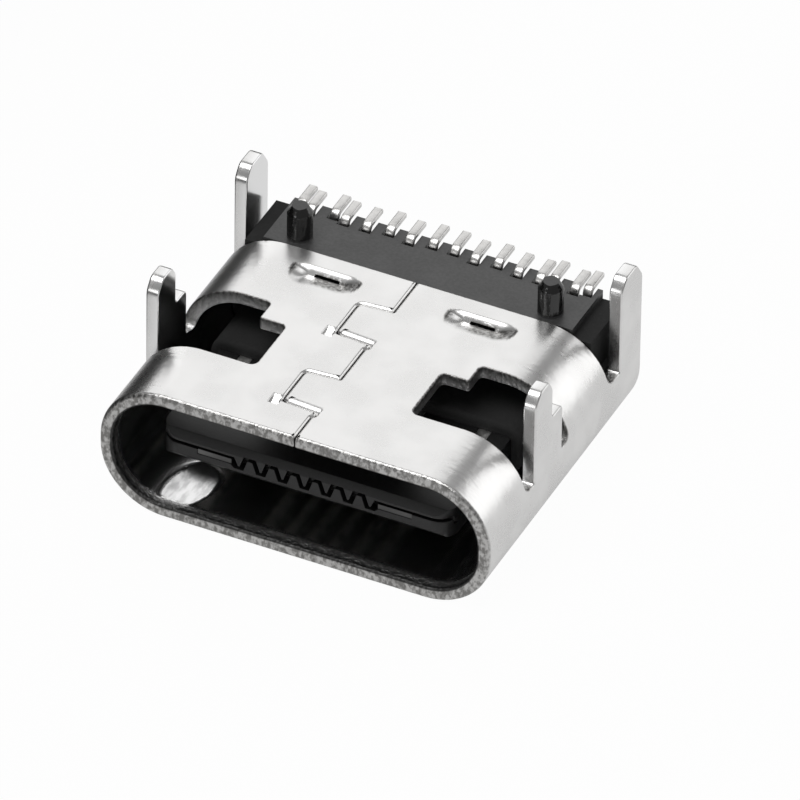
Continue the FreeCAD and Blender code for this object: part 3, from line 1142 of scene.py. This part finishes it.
    def bareness(self, points: Array, share: float) -> Array:
        """How bare each edge is: 0 at the plated seam, 1 at the rim, and above 1 where it is painted
        darker as shade: behind the rim, at the slits' edges and on the mouth's inner edge.

        Args:
            points: One row (u, y) for each point of the edge.
            share: How far through the sheet, from 0 outside to 1 inside; near the mouth the inner half is
                painted darker as shade.

        Returns:
            The bareness for each point.
        """
        u, y = points[:, 0], points[:, 1]
        at_seam = fall(self.off_middle(u), self.seam_strip, self.fade) * rise(y, *self.seam_start)
        on_leg = self.upright(u, y)
        # Painted shade: edges behind the rim, the slits' edges and the mouth's inner edge are painted
        # darker than bare metal.
        behind = self.behind_bareness * rise(y, *self.behind_rim)
        bare = 1 + behind * (1 - on_leg) - self.leg_plating * on_leg
        inner_half = float(rise(np.array(share), *self.lead_in_step))
        mouth_shade = self.lead_in_bareness * inner_half * fall(y, self.lead_in, self.fade)
        return (1 - at_seam) * bare + self.slit_bareness * self.in_slit(points) + mouth_shade

    def bent(self, u: Array, y: Array) -> Array:
        """How far the sheet's outer face is stretched by the two bends beside the board side.

        Args:
            u: Distance along the outside of the tube.
            y: Distance behind the mouth.

        Returns:
            1 in the middle of a bend, 0 off it and on the legs.
        """
        run = (self.off_middle(u) - self.flat) / self.quarter
        starts, ends = self.crease_runs
        return rise(run, 0.0, starts) * fall(run, 1.0, ends) * (1 - self.upright(u, y))

    def dented(self, u: Array, y: Array) -> Array:
        """Where the floor behind the mouth's left corner is dented towards the mouth.

        Args:
            u: Distance along the outside of the tube.
            y: Distance behind the mouth.

        Returns:
            1 in the dent, 0 outside it.
        """
        from_floor = self.round_trip - u - (self.flat + 2 * self.quarter + self.upright_run)
        middle_y = self.dent_middle[1] + self.dent_skew * from_floor
        reach = np.hypot((from_floor - self.dent_middle[0]) / self.dent_reach[0],
                         (y - middle_y) / self.dent_reach[1])
        soft = self.dent_soft[0] + self.dent_soft[1] * fall(from_floor, *self.dent_soft_step)
        return fall(reach, self.dent_edge, soft) * (u > self.round_trip / 2)

    def dent_facing(self, y: Array) -> Array:
        """The directions that the dented floor faces, steeper further in.

        Args:
            y: Distance behind the mouth.

        Returns:
            One row (x, y, z) of length 1 for each point.
        """
        start, growth = self.dent_tilt
        tilt = start + growth * np.clip(y, 0, 2)
        upward = np.sqrt(1 - self.dent_aside ** 2 - tilt * tilt)
        return np.stack([np.full(len(y), self.dent_aside), -tilt, upward], axis=1)

    def lay(self, points: Array, depth: Array, face: float, edge: float, outward: Array,
            cut: Array) -> dict:
        """Folds some of the blank's points, with normals that lean from its faces to its edges.

        Args:
            points: One row (u, y) for each point.
            depth: Their depths under the outer face.
            face: How far their normals point out of the outer face: 1, or -1 for the inner face.
            edge: How far their normals point out of the edge.
            outward: The direction out of the edge, on the blank.
            cut: How bare the metal is; above 1 it is painted darker as shade.

        Returns:
            Their places, normals and masks by name.
        """
        u, y = points[:, 0], points[:, 1]
        near = 1e-3
        here = self.fold(u, y, depth)
        du = self.fold(u + near, y, depth) - here
        dy = self.fold(u, y + near, depth) - here
        press = self.hollow(u + near, y, depth) - self.hollow(u, y, depth)
        du[:, 2] -= (self.dimple_sheen - 1) * press
        up = unit(np.cross(du, dy))
        out = outward[:, :1] * unit(du) + outward[:, 1:] * unit(dy)
        lean = face * up + edge * out
        dent = self.dented(u, y) * (face == -1)
        lean = lean * (1 - dent)[:, None] + self.dent_facing(y) * dent[:, None]
        inside = np.clip(depth / self.sheet, 0, 1) ** 4 * rise(y, *self.inner_step)
        return {"place": here, "normal": unit(lean), "cut": cut, "inside": inside, "dent": dent,
                "bent": self.bent(u, y)}

    def edge_layers(self, outer: Array, inner: Array) -> list:
        """The rows of points across a rounded edge, from the outer face to the inner one.

        Args:
            outer: The outer edge's radius at each point of the rim.
            inner: The inner edge's radius at each point of the rim.

        Returns:
            For each row its inset from the rim, its depth, and how far its normals point out of
            the face and out of the edge.
        """
        layers = []
        for count in range(self.round_pieces + 1):
            angle = math.pi / 2 * count / self.round_pieces
            rest, turned = math.cos(angle), math.sin(angle)
            layers.append((outer * (1 - turned), outer * (1 - rest), rest, turned))
        for count in range(self.round_pieces + 1):
            angle = math.pi / 2 * count / self.round_pieces
            rest, turned = math.cos(angle), math.sin(angle)
            layers.append((inner * (1 - rest), self.sheet - inner * (1 - turned), -turned, rest))
        return layers

    def build(self) -> bpy.types.Object:
        """Makes the shell's mesh.

        Returns:
            The shell, with the masks that its finish reads.
        """
        flat, triangles = self.cut_out()
        rim = Rim.of(flat, triangles)
        edge_points = flat[rim.ring]
        outer, inner = self.radii(edge_points, rim.inward)
        count, around = len(flat), len(rim.ring)
        top, bottom = flat.copy(), flat.copy()
        top[rim.ring] += rim.miter * outer[:, None]
        bottom[rim.ring] += rim.miter * inner[:, None]
        none, still = np.zeros(count), np.zeros((count, 2))
        # Painted shade: the inner face just inside the mouth is painted near black, and the outer face
        # carries the dimples' painted shade.
        mouth_shade = self.rubbed_bareness * fall(flat[:, 1], *self.rubbed_step)
        blocks = [self.lay(top, none, 1.0, 0.0, still, self.stretched(flat[:, 0], flat[:, 1])),
                  self.lay(bottom, none + self.sheet, -1.0, 0.0, still, mouth_shade)]
        layers = self.edge_layers(outer, inner)
        rows = [rim.ring]
        for index, (inset, depth, face, edge) in list(enumerate(layers))[1:-1]:
            share = index / (len(layers) - 1)
            lead_in = fall(edge_points[:, 1], self.lead_in, self.fade) * (share > 0.5)
            on_edge = smooth(np.array(min(share, 1 - share) * self.edge_sharpness))
            through = np.maximum(on_edge, lead_in)
            rows.append(2 * count + (index - 1) * around + np.arange(around))
            blocks.append(self.lay(edge_points + rim.miter * inset[:, None], depth, face, edge,
                                   -rim.inward, through * self.bareness(edge_points, share)))
        rows.append(count + rim.ring)

        faces = [tuple(face) for face in triangles]
        faces += [tuple(count + n for n in face[::-1]) for face in triangles]
        order = {n: index for index, n in enumerate(rim.ring)}
        follow = [order[n] for n in rim.after]
        for upper, lower in zip(rows[:-1], rows[1:]):
            for index, following in enumerate(follow):
                faces.append((upper[following], upper[index], lower[index], lower[following]))
        joined = {name: np.concatenate([block[name] for block in blocks]) for name in blocks[0]}
        return make_mesh("shell_sheet", joined.pop("place"), faces, joined.pop("normal"), joined)

    def dress(self, finish: bpy.types.Material) -> None:
        """Makes the shell and gives it its finish."""
        hand_over(self.build(), finish, Slot.SHELL, "shell")


# Meshes and objects


def mouth_y() -> float:
    """Where the mouth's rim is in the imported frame, in metres."""
    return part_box("shell")[0][1]


def add_object(name: str, data: bpy.types.ID) -> bpy.types.Object:
    """Makes an object and links it to the scene.

    Args:
        name: The object's name.
        data: Its mesh, camera or light.

    Returns:
        The object.
    """
    made = bpy.data.objects.new(name, data)
    bpy.context.scene.collection.objects.link(made)
    return made


def make_mesh(name: str, points: Array, faces: Sequence, normals: Array,
              masks: dict) -> bpy.types.Object:
    """Makes an object from points in millimetres behind the mouth.

    Args:
        name: The piece's name.
        points: One row (x, y, z) for each vertex.
        faces: The vertices of each face, in the order that points it outwards.
        normals: One direction for each vertex.
        masks: Values for each vertex by the name that a material reads.

    Returns:
        The new object, linked to the scene.
    """
    mesh = bpy.data.meshes.new(name)
    in_frame = points * MM + np.array([0.0, mouth_y(), 0.0])
    mesh.from_pydata(in_frame.tolist(), [], [list(map(int, face)) for face in faces])
    mesh.polygons.foreach_set("use_smooth", [True] * len(mesh.polygons))
    for mask, values in masks.items():
        layer = mesh.attributes.new(mask, "FLOAT", "POINT")
        layer.data.foreach_set("value", values.astype(np.float32))
    mesh.update()
    mesh.normals_split_custom_set_from_vertices(normals.tolist())
    return add_object(name, mesh)


def settle(made: bpy.types.Object) -> bpy.types.Object:
    """Turns an object with modifiers into a plain mesh.

    Args:
        made: The object.

    Returns:
        The same object, with its final mesh and no modifiers.
    """
    graph = bpy.context.evaluated_depsgraph_get()
    mesh = bpy.data.meshes.new_from_object(made.evaluated_get(graph))
    made.modifiers.clear()
    made.data = mesh
    return made


def hand_over(piece: bpy.types.Object, finish: bpy.types.Material, slot: Slot, *nodes: str) -> None:
    """Gives a piece its finish and says which nodes it stands for.

    Args:
        piece: The piece.
        finish: Its material.
        slot: The record's material slot; not used.
        nodes: The nodes of the frame that it replaces.
    """
    piece.data.materials.clear()
    piece.data.materials.append(finish)
    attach(piece, "root")
    if nodes:
        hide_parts(*nodes)
    log.info("%s: %d faces, stands for %s", piece.name, len(piece.data.polygons), ", ".join(nodes))


# Mouldings and the plate between them


@dataclass
class Moulding:
    """A node of the frame whose sharp edges get the small rounding of a moulding.

    The copy's loose triangles are merged within the weld distance, and joined into flat faces
    where they meet at less than the flat angle. An edge sharper than the sharp angle is rounded.
    """

    node: str
    slot: Slot
    rounding: float
    pieces: int = 2
    weld: float = 0.0005
    flat_angle: float = 1.0
    sharp_angle: float = 35.0

    def build(self, frame: dict) -> bpy.types.Object:
        """Makes the rounded copy of the node.

        Args:
            frame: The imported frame.

        Returns:
            The copy, as a plain mesh.
        """
        mesh = frame["nodes"][self.node].data.copy()
        mesh.name = self.node + "_moulding"
        mesh.materials.clear()
        made = add_object(self.node + "_moulding", mesh)
        weld = made.modifiers.new("weld", "WELD")
        weld.merge_threshold = self.weld * MM
        plane = made.modifiers.new("plane", "DECIMATE")
        plane.decimate_type = "DISSOLVE"
        plane.angle_limit = math.radians(self.flat_angle)
        bevel = made.modifiers.new("bevel", "BEVEL")
        bevel.width = self.rounding * MM
        bevel.segments = self.pieces
        bevel.angle_limit = math.radians(self.sharp_angle)
        bevel.harden_normals = True
        bevel.use_clamp_overlap = True
        return settle(made)

    def dress(self, frame: dict, finish: bpy.types.Material) -> None:
        """Makes the moulding and gives it its finish."""
        hand_over(self.build(frame), finish, self.slot, self.node)


@dataclass
class MidPlate:
    """The plate in the middle of the tongue, which the frame's own solid shows well enough."""

    node: str = "mid_plate"

    def dress(self, frame: dict, finish: bpy.types.Material) -> None:
        """Gives the node its finish.

        Args:
            frame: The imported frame.
            finish: The plate's material.
        """
        plate = frame["nodes"][self.node]
        plate.data.materials.clear()
        plate.data.materials.append(finish)
        log.info("%s: its own solid, in the slot %s", self.node, Slot.PLATE.value)


# Contacts


@dataclass
class ContactStrips:
    """The contacts: strips of one thickness swept along a centre line and jogged sideways.

    The jog is where, behind the mouth, a blade turns aside to its tail's place. A foot is the
    level end of a tail on the board side.
    """

    thickness: float = 0.12
    bend: float = 0.13
    bend_pieces: int = 5
    edge: float = 0.028
    edge_pieces: int = 3
    tail_width: float = 0.20
    foot: float = 0.66
    jog: tuple = (4.20, 5.90)
    end_slice: float = 0.01

    def fillet(self, nodes: NodeMaker, curve: Link, radius: Link, pieces: int) -> Field:
        """A curve with its corners rounded."""
        sockets = {"Curve": curve, "Radius": radius, "Count": pieces, "Limit Radius": True}
        return nodes.add("GeometryNodeFilletCurve", {"mode": "POLY"}, sockets)

    def tree(self) -> bpy.types.NodeTree:
        """Builds the tree that sweeps one strip along the line it is given.

        Returns:
            The tree, with an input for the line, for each size and for the finish.
        """
        tree = bpy.data.node_groups.new("contact_strip", "GeometryNodeTree")
        face = tree.interface
        face.new_socket("Line", in_out="INPUT", socket_type="NodeSocketGeometry")
        for name in ("Thickness", "Bend", "Edge", "Blade X", "Tail X", "Blade Width", "Tail Width",
                     "Jog Start", "Jog End"):
            face.new_socket(name, in_out="INPUT", socket_type="NodeSocketFloat")
        face.new_socket("Finish", in_out="INPUT", socket_type="NodeSocketMaterial")
        face.new_socket("Strip", in_out="OUTPUT", socket_type="NodeSocketGeometry")
        nodes = NodeMaker(tree)
        given = nodes.node("NodeGroupInput")
        size = {socket.name: Field(nodes, socket) for socket in given.outputs if socket.name}
        line = nodes.add("GeometryNodeMeshToCurve", {}, {"Mesh": size["Line"]})
        bent = self.fillet(nodes, line, size["Bend"], self.bend_pieces)
        section = nodes.add("GeometryNodeCurvePrimitiveQuadrilateral", {},
                            {"Width": size["Tail Width"], "Height": size["Thickness"]})
        soft = self.fillet(nodes, section, size["Edge"], self.edge_pieces)
        swept = nodes.add("GeometryNodeCurveToMesh", {},
                          {"Curve": bent, "Profile Curve": soft, "Fill Caps": True})
        place = nodes.add("GeometryNodeInputPosition")
        x, y, z = (nodes.axis(place, number) for number in range(3))
        share = nodes.add("ShaderNodeMapRange", {"interpolation_type": "LINEAR"},
                          {0: y, 1: size["Jog Start"], 2: size["Jog End"]})
        middle = size["Blade X"] + share * (size["Tail X"] - size["Blade X"])
        stretch = size["Blade Width"] / size["Tail Width"]
        factor = stretch + share * (1.0 - stretch)
        moved = nodes.add("ShaderNodeCombineXYZ", {}, {0: x * factor + middle, 1: y, 2: z})
        jogged = nodes.add("GeometryNodeSetPosition", {}, {"Geometry": swept, "Position": moved})
        shaded = nodes.add("GeometryNodeSetShadeSmooth", {}, {"Geometry": jogged})
        real = nodes.add("GeometryNodeRealizeInstances", {}, {"Geometry": shaded})
        dressed = nodes.add("GeometryNodeSetMaterial", {}, {"Geometry": real, "Material": size["Finish"]})
        nodes.node("NodeGroupOutput", {}, {"Strip": dressed})
        return tree

    def ends(self, frame: dict, node: str) -> tuple:
        """Reads where a contact's two ends are from its node.

        Args:
            frame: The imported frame.
            node: The contact's node.

        Returns:
            The middle of the blade, the middle of the tail, and the blade's width, in metres.
        """
        points = np.array([vertex.co[:] for vertex in frame["nodes"][node].data.vertices])
        x, y = points[:, 0], points[:, 1]
        blade = x[y < y.min() + self.end_slice * MM]
        tail = x[y > y.max() - self.end_slice * MM]
        return (float(blade.min() + blade.max()) / 2, float(tail.min() + tail.max()) / 2,
                float(blade.max() - blade.min()))

    def build(self, frame: dict, node: str, tree: bpy.types.NodeTree,
              finish: bpy.types.Material) -> bpy.types.Object:
        """Makes one contact over its node.

        Args:
            frame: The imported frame.
            node: The contact's node.
            tree: The tree that sweeps a strip.
            finish: The contacts' material.

        Returns:
            The contact, as a plain mesh.
        """
        low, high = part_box(node)
        half = self.thickness * MM / 2
        blade_z, foot_z = low[2] + half, high[2] - half
        heel = high[1] - self.foot * MM + half
        blade_x, tail_x, blade_width = self.ends(frame, node)
        jog_start, jog_end = (mouth_y() + value * MM for value in self.jog)
        line = [(0, low[1], blade_z), (0, jog_start, blade_z), (0, jog_end, blade_z),
                (0, heel, blade_z), (0, heel, foot_z), (0, high[1], foot_z)]
        mesh = bpy.data.meshes.new(node + "_strip")
        mesh.from_pydata(line, [(n, n + 1) for n in range(len(line) - 1)], [])
        made = add_object(node + "_strip", mesh)
        sweep = made.modifiers.new("strip", "NODES")
        sweep.node_group = tree
        values = {"Thickness": self.thickness * MM, "Bend": self.bend * MM, "Edge": self.edge * MM,
                  "Blade X": blade_x, "Tail X": tail_x, "Blade Width": blade_width,
                  "Tail Width": self.tail_width * MM, "Jog Start": jog_start, "Jog End": jog_end,
                  "Finish": finish}
        for item in tree.interface.items_tree:
            if item.in_out == "INPUT" and item.name in values:
                sweep[item.identifier] = values[item.name]
        return settle(made)

    def dress(self, frame: dict, finish: bpy.types.Material) -> None:
        """Makes all the contacts and gives them their finish.

        Args:
            frame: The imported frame.
            finish: The contacts' material.
        """
        tree = self.tree()
        for node in sorted(frame["nodes"]):
            if node.startswith("contact_"):
                hand_over(self.build(frame, node, tree, finish), finish, Slot.CONTACT, node)


# The studio


@dataclass(frozen=True)
class SoftBox:
    """A soft box lamp that faces the part. Its direction is from the part, its lengths in metres."""

    name: str
    direction: tuple
    sides: tuple
    radiance: float
    away: float = 0.4

    def hang(self) -> bpy.types.Object:
        """Hangs the lamp.

        Returns:
            The lamp.
        """
        width, height = self.sides
        data = bpy.data.lights.new(self.name, "AREA")
        data.shape = "RECTANGLE"
        data.size, data.size_y = width, height
        data.energy = self.radiance * math.pi * width * height
        toward = Vector(self.direction).normalized()
        turned = toward.to_track_quat("Z", "Y").to_matrix().to_4x4()
        made = add_object(self.name, data)
        made.matrix_world = Matrix.Translation(toward * self.away) @ turned
        return made


@dataclass(frozen=True)
class PhotoCamera:
    """The camera, where the photograph was taken from.

    Angles are in degrees and sizes in millimetres. Pixels are those of the photograph: the point
    aim_at is seen at the pixel seen_at, counted from the photograph's upper left corner.
    """

    azimuth: float = 25.003
    elevation: float = 38.019
    roll: float = 0.936
    distance: float = 350.0
    focal_pixels: float = 16860.6
    frame_pixels: float = 800.0
    sensor: float = 36.0
    clip: tuple = (10.0, 20000.0)
    aim_at: tuple = (0.0, 3.675, 1.583)
    seen_at: tuple = (370.767, 399.412)

    def stand(self) -> bpy.types.Object:
        """Places the camera.

        Returns:
            The camera.
        """
        around, up = math.radians(self.azimuth), math.radians(self.elevation)
        level = math.cos(up)
        back = Vector((math.sin(around) * level, -math.cos(around) * level, math.sin(up)))
        right = Vector((0, 0, 1)).cross(back).normalized()
        above = back.cross(right)
        turn = math.radians(self.roll)
        rightward = right * math.cos(turn) + above * math.sin(turn)
        upward = above * math.cos(turn) - right * math.sin(turn)
        middle = self.frame_pixels / 2
        across, down = ((seen - middle) * self.distance / self.focal_pixels for seen in self.seen_at)
        aim = Vector(self.aim_at) * MM + Vector((0, mouth_y(), 0))
        data = bpy.data.cameras.new("camera")
        data.sensor_width = self.sensor
        data.lens = self.focal_pixels / self.frame_pixels * self.sensor
        data.clip_start, data.clip_end = (value * MM for value in self.clip)
        made = add_object("camera", data)
        turned = Matrix((rightward, upward, back)).transposed().to_4x4()
        place = aim + back * self.distance * MM - rightward * across * MM + upward * down * MM
        made.matrix_world = Matrix.Translation(place) @ turned
        bpy.context.scene.camera = made
        return made


@dataclass
class Studio:
    """The camera, the pale floor, the soft light and a black card.

    The floor's reach is in metres and the other places in millimetres. The metal sees the floor
    darken towards the card, over floor_edge.
    """

    floor_reach: float = 1.5
    floor_grey: float = 0.72
    floor_edge: tuple = (-9.6, -6.4)
    mirrored_greys: tuple = (0.05, 0.80)
    mirrored_paper: float = 0.4
    shown_white: float = 0.97
    card_grey: float = 0.02
    card_x: float = -15.5
    card_y: tuple = (-20.0, 45.0)
    card_top: float = 7.8
    sky: float = 0.24
    lamps: tuple = (SoftBox("rear_left", (-0.359, 0.768, 0.540), (0.307, 0.26), 0.86),
                    SoftBox("rear_right", (0.62, 0.68, 0.30), (0.28, 0.28), 1.06),
                    SoftBox("overhead", (-0.15, -0.24, 0.96), (0.30, 0.30), 3.2),
                    SoftBox("front_low", (-0.33, -0.93, 0.18), (0.11, 0.11), 2.0))

    def stand_flat(self, name: str, corners: Sequence, material: bpy.types.Material) -> None:
        """Adds one flat piece of the studio.

        Args:
            name: The piece's name.
            corners: Its four corners in metres.
            material: What it is made of.
        """
        mesh = bpy.data.meshes.new(name)
        mesh.from_pydata(corners, [], [(0, 1, 2, 3)])
        made = add_object(name, mesh)
        mesh.materials.append(material)

    def lay_floor(self) -> None:
        """Lays the pale floor. Metal sees it darker at the left, and the camera sees it white."""
        material, nodes, _ = start_material("floor_paper")
        nodes.tree.nodes.clear()
        path = nodes.node("ShaderNodeLightPath")
        paper = nodes.add("ShaderNodeBsdfDiffuse", {}, {"Color": grey(self.floor_grey)})
        white = nodes.add("ShaderNodeEmission", {}, {"Color": grey(1.0), "Strength": 1.0})
        level = nodes.axis(nodes.place(), 0).ramp(*self.floor_edge)
        tone = nodes.blend(level, *map(grey, self.mirrored_greys))
        pale = nodes.add("ShaderNodeEmission", {}, {"Color": tone, "Strength": 1.0})
        shown = nodes.choose(self.shown_white, paper, white)
        mirrored = nodes.choose(1.0 - level * self.mirrored_paper, paper, pale)
        seen = nodes.choose(path.outputs["Is Glossy Ray"], paper, mirrored)
        mixed = nodes.choose(path.outputs["Is Camera Ray"], seen, shown)
        nodes.node("ShaderNodeOutputMaterial", {}, {"Surface": mixed})
        reach = self.floor_reach
        corners = [(-reach, -reach, 0), (reach, -reach, 0), (reach, reach, 0), (-reach, reach, 0)]
        self.stand_flat("floor", corners, material)

    def stand_card(self) -> None:
        """Stands a black card at the left for the shell to reflect; the camera sees through it."""
        material, nodes, _ = start_material("black_card")
        nodes.tree.nodes.clear()
        path = nodes.node("ShaderNodeLightPath")
        black = nodes.add("ShaderNodeBsdfDiffuse", {}, {"Color": grey(self.card_grey)})
        clear = nodes.add("ShaderNodeBsdfTransparent")
        mixed = nodes.choose(path.outputs["Is Camera Ray"], black, clear)
        nodes.node("ShaderNodeOutputMaterial", {}, {"Surface": mixed})
        x, near, far, top = (value * MM for value in (self.card_x, *self.card_y, self.card_top))
        corners = [(x, near, 0), (x, far, 0), (x, far, top), (x, near, top)]
        self.stand_flat("black_card", corners, material)

    def hang_sky(self) -> None:
        """Surrounds the part with soft light: a dim overcast, white to the camera."""
        world = bpy.data.worlds.new("studio")
        world.use_nodes = True
        bpy.context.scene.world = world
        nodes = NodeMaker(world.node_tree)
        world.node_tree.nodes.clear()
        path = nodes.node("ShaderNodeLightPath")
        soft = nodes.add("ShaderNodeBackground", {}, {"Color": grey(1.0), "Strength": self.sky})
        white = nodes.add("ShaderNodeBackground", {}, {"Color": grey(1.0), "Strength": 1.0})
        mixed = nodes.choose(path.outputs["Is Camera Ray"], soft, white)
        nodes.node("ShaderNodeOutputWorld", {}, {"Surface": mixed})

    def build(self) -> None:
        """Sets the whole studio up."""
        PhotoCamera().stand()
        self.lay_floor()
        self.hang_sky()
        self.stand_card()
        for lamp in self.lamps:
            lamp.hang()


# The whole part


def main() -> None:
    """Builds the part's looks over the frame and sets up the studio."""
    logging.basicConfig(level=logging.INFO, format="%(name)s: %(message)s")
    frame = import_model()
    # The housing is painted darker as shade below its top face.
    block_plastic = Plastic("housing_plastic", dark=0.026, light=0.060, roughness=0.36, refraction=1.64,
                            worn=(2.94, 3.08), polished=(3.14, 3.20)).make()
    # The tongue's own black plastic, painted darker still than the housing's as shade inside the mouth.
    tongue_plastic = Plastic("tongue_plastic", dark=0.004, light=0.010, roughness=0.34,
                             grain_depth=0.002).make()
    # The plate is painted dark grey, as painted shade: inside the mouth it reflects only dark.
    plate_steel = PlatedSteel("plate_steel", face=0.16, face_dull=0.10, cut=0.16, cut_dark=0.08,
                              roughness=0.38).make()
    FoldedShell().dress(PlatedSteel().make())
    Moulding("housing", Slot.HOUSING, rounding=0.02).dress(frame, block_plastic)
    for half in ("tongue_board_half", "tongue_far_half"):
        Moulding(half, Slot.TONGUE, rounding=0.012).dress(frame, tongue_plastic)
    MidPlate().dress(frame, plate_steel)
    ContactStrips().dress(frame, ContactPlating().make())
    Studio().build()
    scene = bpy.context.scene
    scene.view_settings.view_transform = "Standard"


if __name__ == "__main__":
    main()
